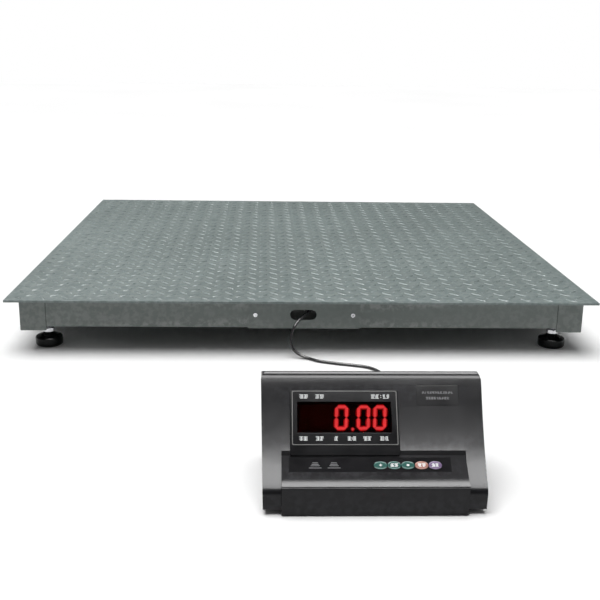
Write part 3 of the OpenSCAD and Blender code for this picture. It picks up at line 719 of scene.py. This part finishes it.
def make_welds():
    """Stitch welds where the channels and the beams meet the underside of the plate."""
    plate = millimetres("deck_plate")[0]
    channel = millimetres("front_channel")[0]
    beams = millimetres("cross_beams")
    outer, under = 0.4 - channel.y, plate.z - 0.4
    beads = []
    spacing, half = EDGE_WELDS
    for k in range(-2, 3):
        for side in (-1, 1):
            if k or side > 0:
                beads.append(weld_bead(Vector((k * spacing - half, side * outer, under)),
                                       Vector((k * spacing + half, side * outer, under))))
            beads.append(weld_bead(Vector((side * outer, k * spacing - half, under)),
                                   Vector((side * outer, k * spacing + half, under))))
    spacing, half = BEAM_WELDS
    for front in (beams[0].y, -BEAM_WIDTH / 2, beams[1].y - BEAM_WIDTH):
        for y in (front - 0.3, front + BEAM_WIDTH + 0.3):
            for k in range(-2, 3):
                beads.append(weld_bead(Vector((k * spacing - half, y, under)),
                                       Vector((k * spacing + half, y, under))))
    add_piece("stitch_welds", joined(beads, 60), "frame_paint", "platform", place=MM)


def make_platform():
    """Frame members and covers with their edges rounded, as folded and cut steel is."""
    make_deck()
    make_welds()
    for node, width in (("front_channel", 1.2), ("rear_channel", 1.2), ("side_channels", 1.2),
                        ("cross_beams", 1.0), ("corner_guards", 1.5), ("access_cover", 0.4),
                        ("cell_mounting_blocks", 0.8), ("load_cells", 0.8),
                        ("load_cell_bolts", 0.6), ("cover_screws", 0.35), ("junction_box", 0.6),
                        ("junction_box_lid", 0.6), ("junction_box_screws", 0.4),
                        ("cable_glands", 0.3)):
        add_piece(node + "_formed", edged(node, width), SLOT_OF[node], "platform", (node,))


def nut(flats, height, bore, sides=72):
    """Hexagonal nut with chamfered corners and a round bore, standing on z = 0."""
    chamfer = flats / 2 * 0.97
    rows = []
    for k in range(sides):
        angle = 2 * math.pi * k / sides
        within = (angle + math.pi / 6) % (math.pi / 3) - math.pi / 6
        reach = flats / 2 / math.cos(within)
        drop = max(0.05, (reach - chamfer) * math.tan(math.radians(30)))
        c, s = math.cos(angle), math.sin(angle)
        rows.append([(bore * c, bore * s, 0.4), ((bore + 0.5) * c, (bore + 0.5) * s, 0),
                     (chamfer * c, chamfer * s, 0), (reach * c, reach * s, drop),
                     (reach * c, reach * s, height - drop), (chamfer * c, chamfer * s, height),
                     ((bore + 0.5) * c, (bore + 0.5) * s, height),
                     (bore * c, bore * s, height - 0.4)])
    count = len(rows[0])
    vertices = [p for row in rows for p in row]
    faces = []
    for k in range(sides):
        a, b = k * count, (k + 1) % sides * count
        faces += [(a + i, b + i, b + (i + 1) % count, a + (i + 1) % count) for i in range(count)]
    return mesh_of(vertices, faces, 25)


THREAD_RADIUS, THREAD_PITCH = 5.95, 1.75
THREAD_DEPTH = 0.875
TURN_STEPS = 5
END_TAPER = (2.0, 1.2)      # height and depth of the taper at the top


def threaded_rod(low, high, sides=24):
    """Rod with a helical thread between two heights."""
    count = round((high - low) / THREAD_PITCH * TURN_STEPS)
    vertices, faces = [], []
    for i in range(count + 1):
        z = low + (high - low) * i / count
        fade = min(1.0, (high - z) / END_TAPER[0])
        for k in range(sides):
            phase = ((z - low) / THREAD_PITCH + k / sides) % 1
            groove = 1 - abs(2 * phase - 1)
            r = THREAD_RADIUS - THREAD_DEPTH * groove * fade - END_TAPER[1] * (1 - fade)
            angle = 2 * math.pi * k / sides
            vertices.append((r * math.cos(angle), r * math.sin(angle), z))
    for i in range(count):
        for k in range(sides):
            near, far = i * sides + k, i * sides + (k + 1) % sides
            faces.append((near, far, far + sides, near + sides))
    faces.append(tuple(sides - 1 - k for k in range(sides)))
    faces.append(tuple(count * sides + k for k in range(sides)))
    return mesh_of(vertices, faces, 50)


CUP_PROFILE = [
    (0, 0), (18.8, 0), (19.6, 0.2), (21.6, 1.2), (22.6, 2.6), (23.1, 4.2), (23.25, 6.0),
    (23.25, 13.2), (23.05, 14.7), (22.4, 16.0), (21.2, 17.1), (19.2, 18.1), (16.4, 19.3),
    (14.0, 20.3), (11.9, 21.1), (10.6, 21.7), (9.8, 22.4), (9.3, 23.2), (8.7, 24.0),
    (6.4, 24.0), (6.15, 23.6), (6.15, 9.0), (0, 9.0)
]
COLLAR_PROFILE = [(0, 0), (7.6, 0), (7.95, 0.4), (7.95, 2.6), (7.6, 3), (0, 3)]
SHANK_PROFILE = [(0, 0), (5.9, 0), (5.9, 20.4), (0, 20.4)]
STUD_HEXAGON = (17, 6.8, 5.4)       # across flats, height and bore radius
LOCK_NUT = (19, 5.6)                # across flats and bore radius


def make_feet():
    """Black cups, each with a threaded stud, its hexagon and the lock nut under the load cell."""
    for corner in CORNERS:
        low, high = millimetres("foot_cup_" + corner)
        middle = MM @ Matrix.Translation(((low.x + high.x) / 2, (low.y + high.y) / 2, 0))
        add_piece("level_cup_" + corner, lathe(CUP_PROFILE, 96, 40), "foot_black",
                  "foot_" + corner, ("foot_cup_" + corner,), place=middle)
        stud_low, stud_high = millimetres("foot_stud_" + corner)
        nut_low, nut_high = millimetres("lock_nut_" + corner)
        hexagon = moved(nut(*STUD_HEXAGON), Matrix.Translation((0, 0, high.z + 0.2)))
        seated = Matrix.Translation((0, 0, stud_low.z))
        collar = moved(lathe(COLLAR_PROFILE, 48), seated)
        shank = moved(lathe(SHANK_PROFILE, 32), seated)
        rod = threaded_rod(high.z + 0.3, stud_high.z)
        add_piece("level_stud_" + corner, joined([hexagon, collar, shank, rod], 30), "zinc_steel",
                  "stud_" + corner, ("foot_stud_" + corner,), place=middle)
        add_piece("stud_nut_" + corner, nut(LOCK_NUT[0], nut_high.z - nut_low.z, LOCK_NUT[1]),
                  "zinc_steel", "stud_" + corner, ("lock_nut_" + corner,),
                  place=middle @ Matrix.Translation((0, 0, nut_low.z)))


# ---- indicator ----

KEY_FIRST, KEY_PITCH, KEY_S = 6.8, 15.75, 16.2
KEY_HALF = (7.7, 5.15)
KEY_SLOTS = ("key_green", "key_green", "key_green", "key_salmon", "key_lilac")
DIGIT_CENTRES = (-36.4, -10.6, 8.6)
DIGIT_SIZE = (11.6, 25.4)
DIGIT_LINE = 3.3
DIGIT_S = 41.0
DIGIT_LEAN = 0.06
POINT_X, POINT_S = -23.6, 27.4
HALO_LINE = DIGIT_LINE + 3.0
WORD_LINES, STROKE = 4, 0.36
# where the labels round the window lie across the panel, above it and below it
UPPER_LABELS = ((-85.7, -75.2), (-66.9, -56.5), (-1.5, 8.3), (12.4, 20.4))
LOWER_LABELS = ((-86, -76), (-67, -57.6), (-45.6, -41), (-30, -20), (-12, -2), (7.7, 18))


def bar(x, y, length, thick, upright=False):
    """Outline of one display segment: a bar with pointed ends."""
    h, t = length / 2, thick / 2
    points = [(-h, 0), (t - h, -t), (h - t, -t), (h, 0), (h - t, t), (t - h, t)]
    if upright:
        points = [(-b, a) for a, b in points]
    return [(x + a, y + b) for a, b in points]


def digit(centre, line, grow=0.0):
    """The six outer segments of a figure, leaning slightly to the right."""
    w, h = DIGIT_SIZE
    long, wide = h / 2 - 0.5 + grow, w - 0.5 + grow
    segments = [bar(0, h / 2, wide, line), bar(0, -h / 2, wide, line)]
    segments += [bar(sx * w / 2, sy * h / 4, long, line, True) for sx in (-1, 1) for sy in (-1, 1)]
    return [[(centre + x + y * DIGIT_LEAN, DIGIT_S + y) for x, y in s] for s in segments]


def word(x0, x1, s0, s1, seed, cell=4.7):
    """Little blocks of strokes that stand for a printed label, without any lettering."""
    chance = random.Random(seed)
    count = max(1, round((x1 - x0) / cell))
    step = (x1 - x0) / count
    strokes = []
    for i in range(count):
        left, right = x0 + i * step + 0.25, x0 + (i + 1) * step - 0.25
        for k in range(WORD_LINES):
            y = s0 + (k + 0.5) * (s1 - s0) / WORD_LINES
            cut_left, cut_right = chance.choice((0, 0, 0.9)), chance.choice((0, 0, 0.9))
            strokes.append(rounded_box((left + cut_left, right - cut_right),
                                       (y - STROKE, y + STROKE), 0.2, 1))
        middle = chance.uniform(left + 0.9, right - 0.9)
        strokes.append(rounded_box((middle - 0.3, middle + 0.3), (s0 + 0.2, s1 - 0.2), 0.2, 1))
    return strokes


def prints(outlines, depth=0.12):
    """Thin raised prints, each outline a solid of its own so that they may cross."""
    return joined([flat_shape([o], depth) for o in outlines])


def make_display():
    """Bezel with a grey ring painted as the highlight of its edge, its printed labels, window, and
    the lit figures behind it.
    """
    bezel = flat_shape([rounded_box((-96.5, 30.5), (-3.6, 73.0), 1.6),
                        rounded_box((-88, 22), (22.6, 59.2), 0.6)], 4.0, 0.35)
    add_piece("bezel_frame", bezel, "panel_film", "indicator", ("display_bezel",),
              place=on_panel(-4.0))
    # Thin grey ring round the display block: a painted highlight on its chamfered edge.
    bezel_highlight = flat_shape([rounded_box((-94.2, 28.9), (8.4, 72.3), 1.8),
                         rounded_box((-93.3, 28.0), (9.3, 71.5), 1.4)], 0.3, 0.08, 1)
    add_piece("bezel_edge_highlight", bezel_highlight, "panel_film", "indicator", finish=EDGE_HIGHLIGHT_GREY,
              place=on_panel(-0.05))
    labels = []
    for i, span in enumerate(UPPER_LABELS):
        labels += word(*span, 62.9, 68.2, 10 + i)
    for i, span in enumerate(LOWER_LABELS):
        labels += word(*span, 13.3, 18.6, 20 + i)
    labels += [ellipse(10.3, s, 0.5, 0.5, count=10) for s in (64.4, 66.8)]
    add_piece("bezel_labels", prints(labels), "panel_film", "indicator", finish=PRINT_WHITE,
              place=on_panel(-0.03))
    module = flat_shape([rounded_box((-87, 21), (23.9, 57.9), 0.8)], 11.4, 0.4, 1)
    add_piece("display_module", module, "led_red", "indicator", ("led_display",),
              place=on_panel(-14.4))
    glass = flat_shape([rounded_box((-87.9, 21.9), (22.7, 59.1), 0.5)], 1.3, 0.15, 1)
    add_piece("window_pane", glass, "smoked_window", "indicator", ("display_window",),
              place=on_panel(-1.8))
    figures, halo = [], []
    for centre in DIGIT_CENTRES:
        figures += digit(centre, DIGIT_LINE)
        halo += digit(centre, HALO_LINE, 2.0)
    figures.append(ellipse(POINT_X, POINT_S, 1.5, 1.5, count=20))
    halo.append(ellipse(POINT_X, POINT_S, 2.4, 2.4, count=20))
    add_piece("lit_figures", prints(figures, 0.25), "led_red", "indicator", finish=LED_LIT,
              place=on_panel(-2.75))
    add_piece("figure_glow", prints(halo, 0.12), "led_red", "indicator", finish=LED_HALO,
              place=on_panel(-2.98))


def dome(half_x, half_y, skirt, rise, count=48, rings=6):
    """Oval cap: a straight skirt under a low crowned top."""
    vertices, faces = [], []
    levels = [(1.0, -skirt), (1.0, 0.0)]
    for k in range(1, rings):
        angle = math.pi / 2 * k / rings
        levels.append((math.cos(angle) ** 0.35, rise * math.sin(angle)))
    for share, z in levels:
        for x, y in ellipse(0, 0, half_x * share, half_y * share, 0.94, count):
            vertices.append((x, y, z))
    for i in range(len(levels) - 1):
        for k in range(count):
            near, far = i * count + k, i * count + (k + 1) % count
            faces.append((near, far, far + count, near + count))
    vertices.append((0, 0, rise))
    top = (len(levels) - 1) * count
    faces += [(top + k, top + (k + 1) % count, len(vertices) - 1) for k in range(count)]
    faces.append(tuple(count - 1 - k for k in range(count)))
    return mesh_of(vertices, faces, 40)


def make_keypad():
    """Film strip with oval openings, five crowned keys and their generic symbols."""
    holes = [ellipse(KEY_FIRST + i * KEY_PITCH, KEY_S, KEY_HALF[0] + 0.1, KEY_HALF[1] + 0.1, 0.94)
             for i in range(len(KEY_SLOTS))]
    strip = flat_shape([rounded_box((-97.7, 88), (7.6, 26.5), 0.6), *holes], 1.2, 0.03, 1)
    add_piece("keypad_strip", strip, "panel_film", "indicator", ("keypad_panel",),
              place=on_keypad(-1.2))
    marks = []
    for x, size in ((-68, 7.2), (-46.5, 7.4)):
        marks.append(rounded_box((x - size, x + size), (12.6, 13.3), 0.3, 1))
        for k in range(3):
            half, s = size - 2 - k, 15.4 + 1.9 * k
            marks.append(rounded_box((x - half, x + half), (s, s + 0.7), 0.3, 1))
    add_piece("strip_marks", prints(marks), "panel_film", "indicator", finish=PRINT_GREY,
              place=on_keypad(-0.06))
    cross = [rounded_box((-1.8, 1.8), (-0.45, 0.45), 0.3, 1),
             rounded_box((-0.45, 0.45), (-1.6, 1.6), 0.3, 1)]
    strokes = [word(-4.6, 4.6, -2.3, 2.3, seed) for seed in (41, 42, 43)]
    symbols = [cross, strokes[0], [ellipse(0, 0, 1.7, 1.2, count=16)], *strokes[1:]]
    for i, slot in enumerate(KEY_SLOTS):
        number = i + 1
        x = KEY_FIRST + i * KEY_PITCH
        add_piece(f"key_cap_{number}", dome(*KEY_HALF, 4.6, 0.55), slot, f"key_{number}_cap",
                  (f"key_{number}",), place=on_keypad(0.02, x, KEY_S))
        add_piece(f"key_symbol_{number}", prints(symbols[i], 0.3), slot, f"key_{number}_cap",
                  finish=PRINT_WHITE, place=on_keypad(0.33, x, KEY_S))


def make_nameplate():
    """Dark plate with two faint rows of strokes in place of its printing."""
    plate = flat_shape([rounded_box((52.5, 102.4), (55.1, 79.5), 0.8)], 0.5, 0.12, 1)
    add_piece("rating_plate", plate, "panel_film", "indicator", ("nameplate",),
              place=on_panel(-1.9))
    rows = word(59, 96, 69.4, 72.2, 51, 3.0) + word(63.5, 91.5, 62.6, 65.6, 52, 3.2)
    add_piece("rating_rows", prints(rows), "panel_film", "indicator", finish=PRINT_GREY,
              place=on_panel(-1.42))
    # Thin grey line along the plate's top edge: a painted highlight.
    rim = flat_shape([rounded_box((52.6, 102.3), (78.9, 79.4), 0.2, 1)], 0.12)
    add_piece("rating_rim_highlight", rim, "panel_film", "indicator", finish=EDGE_HIGHLIGHT_GREY,
              place=on_panel(-1.42))


def make_serial_port():
    """Nine-way port: flange, D shell, moulded insert with pins, and two jack posts."""
    flange = flat_shape([rounded_box((-15.5, 15.5), (-6.3, 6.3), 1.2)], 1.2, 0.25, 1)
    shell = flat_shape([d_outline(17.4, 8.8), d_outline(16.6, 8.0)], 5.6, 0.15, 1)
    parts = [flange, moved(shell, Matrix.Translation((0, 0, 1.2)))]
    for side in (-1, 1):
        parts.append(moved(nut(5, 4.0, 1.2, 36), Matrix.Translation((side * 12.5, 0, 1.2))))
    body = flat_shape([rounded_box((-9.5, 9.5), (-5.1, 5.1), 0.5)], 7.9, 0.2, 1)
    parts.append(moved(body, Matrix.Translation((0, 0, -7.9))))
    add_piece("serial_shell", joined(parts), "connector_metal", "indicator", ("serial_port",),
              place=on_rear(SERIAL_X))
    insert = flat_shape([d_outline(16.5, 7.9)], 2.0, 0.15, 1)
    add_piece("serial_insert", insert, "plug_black", "indicator", place=on_rear(SERIAL_X, 1.2))
    pins = []
    for row, count in ((-1.42, 5), (1.42, 4)):
        for k in range(count):
            x = (k - (count - 1) / 2) * 2.74
            pin = lathe([(0, 0), (0.5, 0), (0.5, 3.0), (0.3, 3.4), (0, 3.5)], 12)
            pins.append(moved(pin, Matrix.Translation((x, row, 3.1))))
    add_piece("serial_pins", joined(pins), "connector_metal", "indicator", finish=GOLD,
              place=on_rear(SERIAL_X))


def make_indicator():
    """Moulded cases with soft edges, the face parts, and the fittings on the rear wall."""
    add_piece("lower_case_moulded", edged("lower_case", 0.8, 3, soft_lip=True), "case_black",
              "indicator", ("lower_case",))
    for node, width in (("upper_case", 1.0), ("battery_cover", 0.5),
                        ("switch_housing", 0.5), ("mains_inlet", 0.6), ("fuse_holder", 0.5),
                        ("signal_socket", 0.25), ("rubber_feet", 0.4), ("case_screws", 0.35)):
        add_piece(node + "_moulded", edged(node, width, 3), SLOT_OF[node], "indicator", (node,))
    add_piece("power_rocker_moulded", edged("power_rocker", 0.5, 3), "rocker_red", "rocker",
              ("power_rocker",))
    make_display()
    make_keypad()
    make_nameplate()
    make_serial_port()


SLOT_OF = {
    "front_channel": "frame_paint", "rear_channel": "frame_paint", "side_channels": "frame_paint",
    "cross_beams": "frame_paint", "corner_guards": "frame_paint", "access_cover": "frame_paint",
    "cell_mounting_blocks": "frame_paint", "load_cells": "cell_steel",
    "load_cell_bolts": "black_steel", "cover_screws": "zinc_steel", "junction_box": "grey_plastic",
    "junction_box_lid": "grey_plastic", "junction_box_screws": "zinc_steel",
    "junction_board": "circuit_board", "trim_potentiometers": "trimmer_blue",
    "terminal_blocks": "terminal_green", "cable_glands": "gland_nylon",
    "load_cell_leads": "cable_jacket", "upper_case": "case_black", "lower_case": "case_black",
    "battery_cover": "case_black", "main_board": "circuit_board", "key_board": "circuit_board",
    "transformer": "laminated_steel", "battery": "battery_case",
    "switch_housing": "fitting_black", "mains_inlet": "fitting_black",
    "fuse_holder": "fitting_black", "signal_socket": "connector_metal",
    "rubber_feet": "pad_rubber", "case_screws": "zinc_steel"
}


def finish_kept_nodes():
    """Gives each CAD node that still shows the finish of its slot."""
    for name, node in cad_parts.items():
        if not node.hide_render:
            node.data.materials.clear()
            node.data.materials.append(MATERIALS[SLOT_OF[name]])


# ---- studio ----

def make_floor():
    """Wide pale floor."""
    mesh = mesh_of([(-9, -9, 0), (9, -9, 0), (9, 9, 0), (-9, 9, 0)], [(0, 1, 2, 3)])
    mesh.materials.append(material("floor_white", (0.93, 0.93, 0.93), 0.9, tone=0.01, patch=1,
                                   grain=40, relief=0.00002, level=0.2))
    floor = bpy.data.objects.new("floor", mesh)
    bpy.context.scene.collection.objects.link(floor)


# How bright the white surroundings are to diffuse and to glossy rays; the camera sees pure white.
SKY_DIFFUSE, SKY_GLOSSY = 0.16, 0.12
SOFTBOX_Z = 2.2


def softbox(name, x, y, radiance):
    """Level rectangular light over the scale, which shows in glossy surfaces only."""
    light = bpy.data.objects.new(name, bpy.data.lights.new(name, "AREA"))
    light.data.shape = "RECTANGLE"
    light.data.size, light.data.size_y = x[1] - x[0], y[1] - y[0]
    light.data.energy = radiance * math.pi * light.data.size * light.data.size_y
    light.location = ((x[0] + x[1]) / 2, (y[0] + y[1]) / 2, SOFTBOX_Z)
    light.visible_diffuse = False
    bpy.context.scene.collection.objects.link(light)


def sky_light(lean, spread, strength):
    """Broad even light from above, leaning by degrees to the left."""
    light = bpy.data.objects.new("sky", bpy.data.lights.new("sky", "SUN"))
    light.data.angle = math.radians(spread)
    light.data.energy = strength
    light.rotation_euler = (0, math.radians(-lean), 0)
    light.visible_glossy = False
    bpy.context.scene.collection.objects.link(light)


def make_studio():
    """White surroundings that light only a little, a broad sky light and softboxes."""
    world = bpy.data.worlds.new("studio")
    bpy.context.scene.world = world
    world.use_nodes = True
    tree = world.node_tree
    sky = tree.nodes["Background"]
    sky.inputs["Color"].default_value = (1, 1, 1, 1)
    path = tree.nodes.new("ShaderNodeLightPath")
    strength = SKY_DIFFUSE
    for ray, change in (("Is Glossy Ray", SKY_GLOSSY - SKY_DIFFUSE),
                        ("Is Camera Ray", 1 - SKY_DIFFUSE)):
        step = tree.nodes.new("ShaderNodeMath")
        step.operation = "MULTIPLY_ADD"
        feed(tree, path.outputs[ray], step.inputs[0])
        feed(tree, change, step.inputs[1])
        feed(tree, strength, step.inputs[2])
        strength = step.outputs[0]
    feed(tree, strength, sky.inputs["Strength"])
    sky_light(lean=8, spread=50, strength=3.1)
    softbox("front_strip", (-1.3, 1.5), (-2.60, -1.75), 20.0)
    softbox("rear_strip", (-1.2, 1.3), (-0.78, 0.15), 19.0)
    softbox("side_box", (-1.9, -0.2), (0.9, 2.2), 8.0)
    bpy.context.scene.view_settings.view_transform = "Standard"


make_camera()
make_cable()
make_platform()
make_feet()
make_indicator()
finish_kept_nodes()
make_floor()
make_studio()
